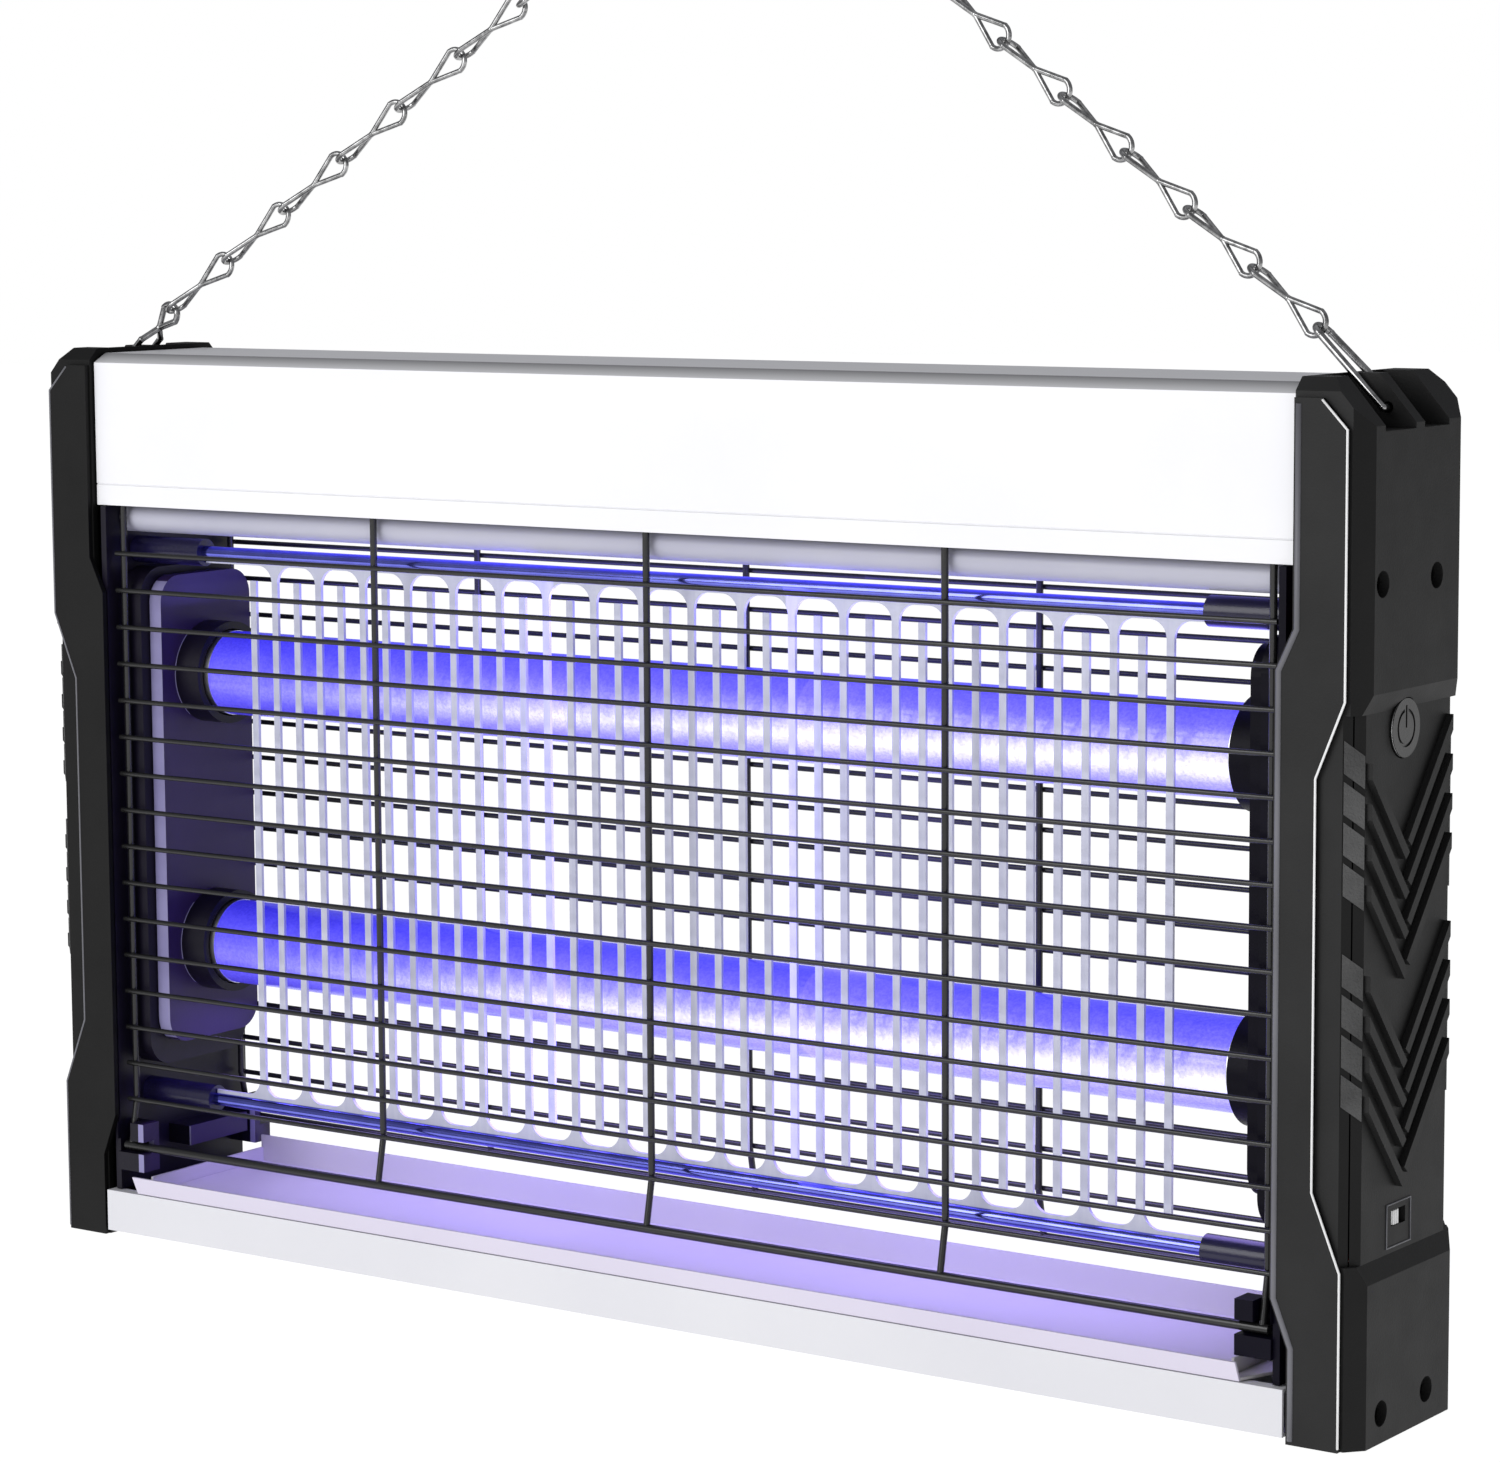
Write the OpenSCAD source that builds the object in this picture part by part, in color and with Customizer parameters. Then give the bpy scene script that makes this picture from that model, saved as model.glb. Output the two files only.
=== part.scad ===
/* [Cabinet] */
// Clear width between the two end caps
inner_w = 405; // [396:1:420]
// Height of the end caps, from their feet to their flat tops
cabinet_h = 270.5; // [268:0.5:276]
// Depth of the end caps, front to back
cabinet_d = 60; // [59.5:0.5:62]
// Width of one end cap at its widest
cap_w = 20; // [19.5:0.5:22]
// Wall thickness of the moulded parts
wall = 2; // [1.6:0.1:2.2]
// Thickness of the sheet metal
sheet_t = 1; // [0.8:0.1:1]

/* [Lamps] */
// Diameter of the tubular lamp
lamp_d = 25.4; // [24:0.1:26]
// Height of the upper lamp's axis
lamp_upper_z = 171.7; // [170:0.5:174]
// Height of the lower lamp's axis
lamp_lower_z = 89; // [86:0.5:91]

/* [High-voltage grid] */
// Centre distance of neighbouring bars
bar_pitch = 8.44; // [8.2:0.02:8.5]
// Number of bars in both combs together
bar_count = 38; // [30:2:38]
// Width of one bar
bar_w = 2.3; // [2:0.1:3]
// Diameter of the rails that carry the combs
rail_d = 4; // [3.5:0.1:4.2]

/* [Guards] */
// Number of evenly spaced horizontal wires
guard_rows = 16; // [12:1:16]
// Centre distance of neighbouring horizontal wires
guard_pitch = 11.12; // [11:0.02:11.2]
// Diameter of the horizontal wires
row_wire_d = 1.5; // [1.2:0.1:1.8]
// Diameter of the upright wires
upright_wire_d = 2; // [1.8:0.1:2.2]

/* [Suspension] */
// Centre distance of neighbouring chain links
link_pitch = 25.4; // [24:0.2:27]
// Diameter of the chain wire
link_wire_d = 1.6; // [1.4:0.1:1.8]
// Number of links on each run
link_count = 9; // [9:1:10]
// How far the ring hangs behind the cabinet's mid-plane
ring_y = 24; // [0:1:30]

/* [Controls] */
// Diameter of the power button
button_d = 15; // [12:0.5:16]
// Travel of the power button
button_travel = 1.6; // [1:0.1:1.8]
// Travel of the slide switch's knob
knob_travel = 3; // [2:0.1:3.2]

/* [Hidden] */

$fn = 48;
eps = 0.05;

// Half sizes of the cabinet
half_w = inner_w / 2;
cap_y = cabinet_d / 2;
cap_x = half_w + cap_w + 0.5;

// End cap: the raised front and rear plates and the waist in them
plate_t = 1.6;
plate_in = half_w + 1;
waist_in = half_w - 4;
plate_out = cap_x - 4.8;
waist_out = cap_x - 12.8;
waist_step = 2;
body_y = cap_y - plate_t;
body_in = half_w + 0.5;
corner_dx = 4;
corner_dy = 6.2;
rear_corner_dy = 7.5;
waist_low = 47.5;
waist_high = 187;
waist_ramp = 5;
top_cut_x = 10.5;
top_cut_z = 12;
front_cut = 5;

// Hook slots in the top of the end caps, with a tab between them
slot_floor = cabinet_h - 13.5;
slot_in_y = 2.3;
slot_front_y = 19;
slot_rear_y = 16;
slot_depth_x = 19;
hook_x = half_w + 12.5;
hook_z = cabinet_h - 8.5;
hook_r = 1.5;

// Top housing and base channel
housing_y = cap_y - 3;
housing_low = 223.7;
housing_front_top = 266.3;
housing_top = 269;
bevel_y = 5;
base_y = cap_y;
base_low = 1.5;
base_top = 14;
pan_y = 17.5;
pan_z = 219.8;
pan_r = 4.5;
pan_floor = 227;

// Inner covers that close the end caps and carry the lamps
cover_x = half_w - 4;
cover_low = base_top + 0.3;
cover_high = 231;
cover_y = body_y - 0.6;
step_x = half_w - 12;
step_y = 22;
step_low = 52;
step_high = 204.5;
boss_plate_x = half_w - 16.9;
boss_plate_front = -18.5;
boss_plate_rear = 21.7;
boss_plate_low = 59;
boss_plate_high = 202;
boss_x = half_w - 26.2;
boss_r = 15.5;
boss_bore_r = lamp_d / 2 + 0.6;

// Grid
grid_y = -13.6;
bar_shift = 3.7;
rail_upper_z = 209.6;
rail_lower_z = 43.1;
rail_end = half_w - 8;
insulator_in = half_w - 31.2;
insulator_r = 4.1;
bar_first = bar_shift - bar_pitch * (bar_count - 1) / 2;
scallop_gap = 3;
scallop_r = 5;
bar_end_gap = 7.6;
comb_t = 1;

// Lamps
lamp_y = 2.6;
lamp_end_x = boss_plate_x - 2;
lamp_cap_l = 9;
lamp_cap_r = lamp_d / 2 + 0.15;
lamp_pin_r = 1.175;
lamp_pin_c = 6.35;
lamp_pin_l = 6;
holder_r = 12;
holder_back = cover_x - 1;

// Guards
guard_y = cap_y - 6.1;
guard_half = 194.9;
guard_top_z = 209.1;
guard_hinge_z = housing_low + 1.2;
guard_foot_y = cap_y - 3.3;
guard_foot_z = 28.2;
foot_wire_d = 2.6;
row_y = guard_y + 1.4;
hinge_r = upright_wire_d / 2;

// Jaws that hold the foot wire of each guard
jaw_x = half_w - 14.5;
jaw_in_y = cap_y - 8;
jaw_out_y = cap_y - 1;
jaw_gap = foot_wire_d / 2 + 0.6;
jaw_h = 5.5;

// Tray
tray_z = base_top + 0.3;
tray_half = 190;
tray_wing = 196;
tray_front_y = -cap_y + 1;
tray_rear_y = 24.5;
tray_wall_top = 19.4;
tray_rear_top = 23.2;

// Controls on the right end cap
button_y = -3.5;
button_z = 181.8;
knob_y = -4.8;
knob_z = 56.4;
knob_w = 4.2;
knob_h = 3.6;

// Suspension
end_wire_d = 2;
ring_wire_d = 3;
ring_r = 15;
wire_gap = 0.2;
loop_r = 3.4;
end_loop_r = 3;
crest_x = half_w - 8.5;
crest_z = cabinet_h + 11.5;
link_half = (link_pitch + link_wire_d + wire_gap) / 2;
run_length = link_count * link_pitch - (ring_wire_d + end_wire_d) / 2 - wire_gap;
ring_reach = ring_r + sqrt(run_length * run_length - ring_y * ring_y);
ring_z = crest_z + sqrt(ring_reach * ring_reach - crest_x * crest_x);
// The part's origin is the inside of the ring's top, where a hook carries it
origin_z = ring_z + ring_r - ring_wire_d / 2;

module in_frame() {
    translate([0, -ring_y, -origin_z]) children();
}

module side(s) {
    if (s > 0) children();
    else mirror([1, 0, 0]) children();
}

module back(s) {
    if (s < 0) children();
    else mirror([0, 1, 0]) children();
}

module rod_x(x0, x1, y, z, r) {
    translate([x0, y, z]) rotate([0, 90, 0]) cylinder(h = x1 - x0, r = r);
}

module rod_y(y0, y1, x, z, r) {
    translate([x, y1, z]) rotate([90, 0, 0]) cylinder(h = y1 - y0, r = r);
}

module rod_z(z0, z1, x, y, r) {
    translate([x, y, z0]) cylinder(h = z1 - z0, r = r);
}

module box(x0, x1, y0, y1, z0, z1) {
    translate([x0, y0, z0]) cube([x1 - x0, y1 - y0, z1 - z0]);
}

// A straight wire between two points
module wire(a, b, r) {
    v = b - a;
    l = norm(v);
    bend = acos(v[2] / l);
    turn = atan2(v[1], v[0]);
    translate(a) rotate([0, bend, turn]) cylinder(h = l, r = r);
}

module bead(a, r) {
    translate(a) sphere(r = r);
}

// Extrudes a front-view outline (x, z) from y0 to y1
module front_slab(y0, y1) {
    translate([0, y1, 0]) rotate([90, 0, 0]) linear_extrude(height = y1 - y0) children();
}

// Extrudes a side-view outline (y, z) from x0 to x1
module side_slab(x0, x1) {
    translate([x0, 0, 0]) rotate([90, 0, 90]) linear_extrude(height = x1 - x0) children();
}

module rounded_rect(x0, x1, z0, z1, r) {
    union() {
        translate([x0 + r, z0]) square([x1 - x0 - 2 * r, z1 - z0]);
        translate([x0, z0 + r]) square([x1 - x0, z1 - z0 - 2 * r]);
        for (x = [x0 + r, x1 - r], z = [z0 + r, z1 - r]) translate([x, z]) circle(r = r);
    }
}

// ---- Suspension ----

// One loop of a chain link: it opens upwards from the neck at the origin, in the XZ plane
module link_loop(top, radius, wire_r) {
    shoulder = top - radius;
    for (s = [-1, 1]) {
        wire([0, 0, 0], [s * radius, 0, shoulder], wire_r * (s < 0 ? 0.96 : 0.92));
        bead([s * radius, 0, shoulder], wire_r);
    }
    translate([0, 0, shoulder]) rotate([90, 0, 0])
        rotate_extrude(angle = 180) translate([radius, 0]) circle(r = wire_r * 0.96);
}

// A jack chain link stands on Z: its upper loop faces the front, its lower loop is turned a quarter
module jack_link() {
    wire_r = link_wire_d / 2;
    bead([0, 0, 0], wire_r * 1.1);
    link_loop(link_half, loop_r, wire_r);
    rotate([180, 0, 90]) link_loop(link_half, loop_r, wire_r);
}

// How far link i of a run is turned: the top link must cross the ring at a right angle
function link_turn(s, i) = s > 0 ? 90 : max(0, 30 * (i - link_count + 4));

// A run of links from the end link's crest up to the ring
module chain_run(s) {
    foot = [s * crest_x, 0, crest_z];
    near = ring_r / ring_reach;
    head = [s * crest_x * near, ring_y, ring_z - (ring_z - crest_z) * near];
    along = (head - foot) / norm(head - foot);
    lean = atan2(along[0], along[2]);
    tip = asin(along[1]);
    hooked = (end_wire_d + link_wire_d) / 2 + wire_gap;
    for (i = [0 : link_count - 1]) {
        centre = foot + along * (link_half - hooked + i * link_pitch);
        translate(centre) rotate([0, lean, 0]) rotate([-tip, 0, 0]) rotate([0, 0, link_turn(s, i)]) jack_link();
    }
}

module hanging_ring() {
    in_frame() color("silver") translate([0, ring_y, ring_z]) rotate([90, 0, 0])
        rotate_extrude() translate([ring_r, 0]) circle(r = ring_wire_d / 2);
}

module left_chain() {
    in_frame() color("silver") chain_run(-1);
}

module right_chain() {
    in_frame() color("silver") chain_run(1);
}

// Places an end link on the tab's hole, leaning towards the chain
module on_hook(s) {
    lean = atan2(crest_x - hook_x, crest_z - hook_z);
    side(s) translate([hook_x, 0, hook_z]) rotate([0, lean, 0]) children();
}

function end_length() = norm([crest_x - hook_x, crest_z - hook_z]);

// The wire link on the left tab: its legs stand astride the tab, its loop faces the front
module left_end_link() {
    wire_r = end_wire_d / 2;
    foot_y = 4.8;
    knee_y = 4.2;
    knee = 15;
    neck = 20;
    in_frame() color("silver") on_hook(-1) {
        rod_y(-foot_y, foot_y, 0, 0, wire_r);
        for (t = [-1, 1]) {
            bead([0, t * foot_y, 0], wire_r * 1.05);
            wire([0, t * foot_y, 0], [0, t * knee_y, knee], wire_r * 0.95);
            bead([0, t * knee_y, knee], wire_r * 1.03);
            wire([0, t * knee_y, knee], [0, 0, neck], wire_r * 0.93);
        }
        bead([0, 0, neck], wire_r * 1.15);
        translate([0, 0, neck]) link_loop(end_length() - neck, end_loop_r, wire_r);
    }
}

// The wire link on the right tab: one narrow loop
module right_end_link() {
    wire_r = end_wire_d / 2;
    foot_y = 4.8;
    shoulder = end_length() - end_loop_r;
    in_frame() color("silver") on_hook(1) {
        rod_y(-foot_y, foot_y, 0, 0, wire_r);
        for (t = [-1, 1]) {
            bead([0, t * foot_y, 0], wire_r * 1.05);
            wire([0, t * foot_y, 0], [0, t * end_loop_r, shoulder], wire_r * 0.94);
            bead([0, t * end_loop_r, shoulder], wire_r * 1.03);
        }
        translate([0, 0, shoulder]) rotate([90, 0, 90])
            rotate_extrude(angle = 180) translate([end_loop_r, 0]) circle(r = wire_r * 0.96);
    }
}

// ---- Housing and base ----

module housing_outline(inset, low) {
    y = housing_y - inset;
    b = bevel_y - inset * 0.4;
    polygon([[-y, low], [-y, housing_front_top - inset * 0.6], [-y + b, housing_top - inset],
        [y - b, housing_top - inset], [y, housing_front_top - inset * 0.6], [y, low]]);
}

module top_housing() {
    groove_z = 230;
    groove = 0.3;
    in_frame() color("white") difference() {
        side_slab(-half_w, half_w) difference() {
            housing_outline(0, housing_low);
            housing_outline(sheet_t, housing_low - 1);
        }
        for (s = [-1, 1]) translate([0, s * housing_y, groove_z]) rotate([45, 0, 0])
            cube([inner_w + 2, groove * 1.5, groove * 1.5], center = true);
    }
}

module housing_pan() {
    x = cover_x - 0.4;
    in_frame() color("lavender") side_slab(-x, x) difference() {
        union() {
            for (s = [-1, 1]) translate([s * pan_y, pan_z]) circle(r = pan_r);
            translate([-pan_y, pan_z + pan_r - 1.6]) square([2 * pan_y, sheet_t]);
        }
        for (s = [-1, 1]) translate([s * pan_y, pan_z]) circle(r = pan_r - sheet_t);
    }
}

module base_channel() {
    flange = 4;
    in_frame() color("whitesmoke") side_slab(-half_w, half_w) union() {
        translate([-base_y, base_low]) square([2 * base_y, sheet_t]);
        for (s = [-1, 1]) {
            translate([s > 0 ? base_y - sheet_t : -base_y, base_low]) square([sheet_t, base_top - base_low]);
            translate([s > 0 ? base_y - flange : -base_y, base_top - sheet_t]) square([flange, sheet_t]);
        }
    }
}

// ---- End caps ----

module cap_plan(shift) {
    x = cap_x - shift;
    polygon([[body_in, -body_y], [x - corner_dx, -body_y], [x, -cap_y + corner_dy], [x, cap_y - rear_corner_dy],
        [x - corner_dx, body_y], [body_in, body_y]]);
}

// Front view of the cap's body: waisted on the outer side, cut at the top outer corner
module cap_front_view() {
    x = cap_x;
    w = cap_x - waist_step;
    polygon([[body_in, 0], [x, 0], [x, waist_low - waist_ramp], [w, waist_low], [w, waist_high],
        [x, waist_high + waist_ramp], [x, cabinet_h - top_cut_z], [x - top_cut_x, cabinet_h], [body_in, cabinet_h]]);
}

module cap_plate_view() {
    top = cabinet_h - front_cut;
    polygon([[plate_in, 0], [plate_out, 0], [plate_out, 46.2], [waist_out, 66], [waist_out, 171],
        [plate_out, 190.5], [plate_out, top - 7.5], [plate_out - 7, top], [plate_in, top],
        [plate_in, 208], [waist_in, 197.5], [waist_in, 37.5], [plate_in, 25]]);
}

module cap_solid() {
    intersection() {
        front_slab(-cap_y, cap_y) cap_front_view();
        union() {
            translate([0, 0, waist_high]) linear_extrude(height = cabinet_h - waist_high) cap_plan(0);
            translate([0, 0, waist_low]) linear_extrude(height = waist_high - waist_low) cap_plan(waist_step);
            linear_extrude(height = waist_low) cap_plan(0);
        }
        side_slab(body_in - 1, cap_x + 1) polygon([[-cap_y, 0], [-cap_y, cabinet_h - front_cut],
            [-cap_y + front_cut, cabinet_h], [cap_y - front_cut, cabinet_h], [cap_y, cabinet_h - front_cut],
            [cap_y, 0]]);
    }
    for (s = [-1, 1]) back(s) front_slab(-cap_y, -body_y + eps) cap_plate_view();
}

// Raised V ribs in two groups on the waisted side
module chevrons() {
    rib = 2.6;
    arm = 44;
    slope = 40;
    middle_y = -4.5;
    first_tip = 150.4;
    tip_pitch = 10.2;
    group_gap = 53.5;
    x = cap_x - waist_step;
    intersection() {
        for (g = [0, 1], i = [0 : 3]) {
            z = first_tip - i * tip_pitch - g * group_gap;
            for (s = [-1, 1]) translate([x - eps, middle_y, z]) rotate([s * slope, 0, 0])
                box(0, waist_step - 0.2, -rib / 2, rib / 2, s > 0 ? -rib / 2 : rib * 1.1, arm);
        }
        box(x - 1, cap_x + 1, -cap_y + corner_dy + 0.4, cap_y - rear_corner_dy - 1.5, waist_low,
            waist_high + waist_ramp);
    }
}

module end_cap(s) {
    cavity_x = cap_x - waist_step - wall;
    cavity_y = body_y - wall;
    cavity_top = slot_floor - 3;
    screw_r = 3.4;
    side(s) difference() {
        union() {
            cap_solid();
            chevrons();
        }
        box(body_in - 1, cavity_x, -cavity_y, cavity_y, 3, cavity_top);
        for (t = [-1, 1]) back(t) box(cap_x - slot_depth_x, cap_x + 1, t < 0 ? -slot_front_y : -slot_rear_y,
            -slot_in_y, slot_floor, cabinet_h + 1);
        rod_y(-slot_in_y - 1, slot_in_y + 1, hook_x, hook_z, hook_r);
        for (p = screw_places()) rod_x(cavity_x - 1, cap_x + 1, p[0], p[1], screw_r);
        if (s > 0) {
            rod_x(cavity_x - 1, cap_x + 1, button_y, button_z, button_d / 2 + 0.3);
            box(cavity_x - 1, cap_x + 1, knob_y - knob_w / 2 - 0.3, knob_y + knob_w / 2 + knob_travel + 0.3,
                knob_z - knob_h / 2 - 0.3, knob_z + knob_h / 2 + 0.3);
            rod_y(cavity_y - 1, cap_y + 1, gland_x(), gland_z(), 4);
        }
    }
}

function screw_places() = [[-19.5, 219.3], [10, 219.3], [-15.7, 7.8], [9.5, 8.4]];
function gland_x() = half_w + 8;
function gland_z() = 236;

module left_end_cap() {
    in_frame() color("#2a2a2a") end_cap(-1);
}

module right_end_cap() {
    in_frame() color("#2a2a2a") end_cap(1);
}

// Parallelogram pads on the slanted corners of the waist
module grip_pads(s) {
    pad_h = 8.2;
    pad_pitch = 10.2;
    group_gap = 53.5;
    first_z = 180.8;
    x = cap_x - waist_step;
    side(s) for (t = [-1, 1], g = [0, 1], i = [0 : 3]) {
        depth = (t > 0 ? rear_corner_dy : corner_dy) - plate_t;
        slant = atan2(depth, corner_dx);
        length = norm([corner_dx, depth]) - 0.6;
        back(t) translate([x - corner_dx, -body_y, first_z - g * group_gap - i * pad_pitch])
            rotate([0, 0, slant]) translate([0.3, 0, 0]) rotate([90, 0, 0]) linear_extrude(height = 0.4)
                polygon([[0, 0], [length, -4], [length, -4 - pad_h], [0, -pad_h]]);
    }
}

module left_grip_pads() {
    in_frame() color("dimgray") grip_pads(-1);
}

module right_grip_pads() {
    in_frame() color("dimgray") grip_pads(1);
}

module cap_screws(s) {
    head_x = cap_x - 2.6;
    side(s) for (p = screw_places()) {
        rod_x(cap_x - waist_step - wall - 6, head_x - 1.4, p[0], p[1], 1.4);
        difference() {
            rod_x(head_x - 1.5, head_x, p[0], p[1], 3.2);
            for (a = [0, 90]) translate([head_x, p[0], p[1]]) rotate([a, 0, 0]) cube([0.8, 4, 0.7], center = true);
        }
    }
}

module left_cap_screws() {
    in_frame() color("black") cap_screws(-1);
}

module right_cap_screws() {
    in_frame() color("black") cap_screws(1);
}

// ---- Inner covers ----

module lamp_places() {
    for (z = [lamp_upper_z, lamp_lower_z]) translate([0, lamp_y, z]) children();
}

module raised_box(x0, x1, y0, y1, low, high, r) {
    side_slab(x0, x1) rounded_rect(y0, y1, low, high, r);
}

module inner_cover(s) {
    skin = 1.6;
    side(s) difference() {
        union() {
            box(cover_x, cover_x + wall, -cover_y, cover_y, cover_low, cover_high);
            raised_box(step_x, cover_x + eps, -step_y, step_y, step_low, step_high, 9);
            raised_box(boss_plate_x, step_x + eps, boss_plate_front, boss_plate_rear, boss_plate_low,
                boss_plate_high, 8);
            lamp_places() rod_x(boss_x, boss_plate_x + eps, 0, 0, boss_r);
            for (t = [-1, 1]) back(t) {
                difference() {
                    box(jaw_x, cover_x + eps, -jaw_out_y, -jaw_in_y, guard_foot_z - jaw_gap - jaw_h,
                        guard_foot_z + jaw_gap + jaw_h);
                    box(jaw_x - 1, cover_x + 1, -jaw_out_y - 1, -guard_foot_y + jaw_gap + 0.4,
                        guard_foot_z - jaw_gap, guard_foot_z + jaw_gap);
                    box(guard_half - 1.6, cover_x, -cap_y, -guard_y + 0.5, guard_foot_z, guard_foot_z + 9);
                }
            }
            box(half_w - 13, cover_x + eps, -6, 20, 25, 31);
        }
        raised_box(step_x + skin, cover_x + wall + 1, skin - step_y, step_y - skin, step_low + skin,
            step_high - skin, 7.4);
        raised_box(boss_plate_x + skin, step_x + wall + 1, boss_plate_front + skin, boss_plate_rear - skin,
            boss_plate_low + skin, boss_plate_high - skin, 6.4);
        lamp_places() rod_x(boss_x - 1, boss_plate_x + wall + 1, 0, 0, boss_bore_r);
        for (t = [-1, 1]) rod_x(cover_x - 1, cover_x + wall + 1, t * guard_y, guard_hinge_z, hinge_r + eps);
        rod_x(cover_x - 1, cover_x + wall + 1, grid_y, rail_upper_z, 1.4);
        rod_x(cover_x - 1, cover_x + wall + 1, grid_y, rail_lower_z, 1.4);
        box(cover_x - 1, cover_x + wall + 1, -14, 14, cover_high - 6, cover_high + 1);
        for (t = [-1, 1]) back(t) box(cover_x - 1, cover_x + wall + 1, -cap_y, -housing_y + sheet_t + 0.4,
            housing_low - 0.4, cover_high + 1);
    }
}

module left_inner_cover() {
    in_frame() color("#20105f") inner_cover(-1);
}

module right_inner_cover() {
    in_frame() color("#20105f") inner_cover(1);
}

// ---- High-voltage grid ----

module rail(z) {
    rod_x(-rail_end, rail_end, grid_y, z, rail_d / 2);
}

module upper_rail() {
    in_frame() color("royalblue") rail(rail_upper_z);
}

module lower_rail() {
    in_frame() color("royalblue") rail(rail_lower_z);
}

module insulator(s, z) {
    side(s) difference() {
        rod_x(insulator_in, cover_x - 0.1, grid_y, z, insulator_r);
        rod_x(insulator_in - 1, rail_end + 0.2, grid_y, z, rail_d / 2 + 0.02);
        rod_x(rail_end - 1, cover_x + 1, grid_y, z, 1.4);
    }
}

module upper_left_insulator() {
    in_frame() color("midnightblue") insulator(-1, rail_upper_z);
}

module upper_right_insulator() {
    in_frame() color("midnightblue") insulator(1, rail_upper_z);
}

module lower_left_insulator() {
    in_frame() color("midnightblue") insulator(-1, rail_lower_z);
}

module lower_right_insulator() {
    in_frame() color("midnightblue") insulator(1, rail_lower_z);
}

// Half of the grid as seen from the front, hanging from its rail: z runs down from the rail
module comb_view(first) {
    reach = rail_upper_z - rail_lower_z - bar_end_gap;
    x_end = insulator_in - 0.4;
    shoulder = scallop_gap + scallop_r;
    bars = [for (i = [first : 2 : bar_count - 1]) bar_first + i * bar_pitch];
    last = len(bars) - 1;
    difference() {
        union() {
            translate([-x_end, -shoulder]) square([2 * x_end, shoulder]);
            for (x = bars) translate([x - bar_w / 2, -reach]) square([bar_w, reach]);
        }
        for (i = [0 : last - 1]) scallop(bars[i] + bar_w / 2, bars[i + 1] - bar_w / 2, shoulder);
        scallop(-x_end - scallop_r - 1, bars[0] - bar_w / 2, shoulder);
        scallop(bars[last] + bar_w / 2, x_end + scallop_r + 1, shoulder);
    }
}

// The round-shouldered opening between two bars
module scallop(x0, x1, shoulder) {
    translate([x0, -shoulder - 1]) square([x1 - x0, 1 + eps]);
    translate([x0 + scallop_r, -shoulder - 1]) square([x1 - x0 - 2 * scallop_r, 1 + scallop_r]);
    for (x = [x0 + scallop_r, x1 - scallop_r]) translate([x, -shoulder]) circle(r = scallop_r);
}

module comb(z, first) {
    difference() {
        translate([0, 0, z]) front_slab(grid_y - comb_t / 2, grid_y + comb_t / 2) comb_view(first);
        rod_x(-half_w, half_w, grid_y, z, rail_d / 2);
    }
}

module upper_comb() {
    in_frame() color("white") comb(rail_upper_z, 1);
}

module lower_comb() {
    in_frame() color("white") translate([0, 0, rail_lower_z]) mirror([0, 0, 1]) comb(0, 0);
}

// ---- Lamps ----

module lampholder(s, z) {
    groove_in = lamp_pin_c - lamp_pin_r - 0.15;
    groove_out = lamp_pin_c + lamp_pin_r + 0.15;
    face = lamp_end_x + 0.4;
    side(s) difference() {
        rod_x(face, holder_back, lamp_y, z, holder_r);
        difference() {
            rod_x(face - 1, lamp_end_x + lamp_pin_l + 0.6, lamp_y, z, groove_out);
            rod_x(face - 2, lamp_end_x + lamp_pin_l + 1.6, lamp_y, z, groove_in);
        }
    }
}

module upper_left_lampholder() {
    in_frame() color("ivory") lampholder(-1, lamp_upper_z);
}

module upper_right_lampholder() {
    in_frame() color("ivory") lampholder(1, lamp_upper_z);
}

module lower_left_lampholder() {
    in_frame() color("ivory") lampholder(-1, lamp_lower_z);
}

module lower_right_lampholder() {
    in_frame() color("ivory") lampholder(1, lamp_lower_z);
}

module lamp_tube(z) {
    glass = 0.8;
    x = lamp_end_x - lamp_cap_l;
    difference() {
        rod_x(-x, x, lamp_y, z, lamp_d / 2);
        rod_x(-x + glass, x - glass, lamp_y, z, lamp_d / 2 - glass);
    }
}

// The two aluminium end caps of a lamp, each with its pair of pins
module lamp_ends(z) {
    x = lamp_end_x;
    for (s = [-1, 1]) side(s) {
        rod_x(x - lamp_cap_l + 0.02, x, lamp_y, z, lamp_cap_r);
        for (t = [-1, 1]) rod_x(x - 1, x + lamp_pin_l, lamp_y, z + t * lamp_pin_c, lamp_pin_r);
    }
}

module upper_lamp_tube() {
    in_frame() color("mediumslateblue") lamp_tube(lamp_upper_z);
}

module lower_lamp_tube() {
    in_frame() color("mediumslateblue") lamp_tube(lamp_lower_z);
}

module upper_lamp_ends() {
    in_frame() color("silver") lamp_ends(lamp_upper_z);
}

module lower_lamp_ends() {
    in_frame() color("silver") lamp_ends(lamp_lower_z);
}

// ---- Guards ----

// The front guard; the rear one is its mirror image
module guard() {
    overhang = 2;
    low_z = guard_top_z - (guard_rows - 1) * guard_pitch;
    upright_r = upright_wire_d / 2;
    hinge_end = cover_x + wall - 0.3;
    for (i = [0 : guard_rows - 1])
        rod_x(-guard_half - overhang, guard_half + overhang, -row_y, guard_top_z - i * guard_pitch, row_wire_d / 2);
    for (k = [-2 : 2]) {
        x = k * guard_half / 2;
        rod_z(low_z, guard_hinge_z, x, -guard_y, upright_r);
        bead([x, -guard_y, low_z], upright_r * 1.05);
        wire([x, -guard_y, low_z], [x, -guard_foot_y, guard_foot_z], upright_r * 0.95);
    }
    rod_x(-hinge_end, hinge_end, -guard_y, guard_hinge_z, hinge_r);
    rod_x(-guard_half - overhang, guard_half + overhang, -guard_foot_y, guard_foot_z, foot_wire_d / 2);
}

module front_guard() {
    in_frame() color("black") guard();
}

module rear_guard() {
    in_frame() color("black") mirror([0, 1, 0]) guard();
}

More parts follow.
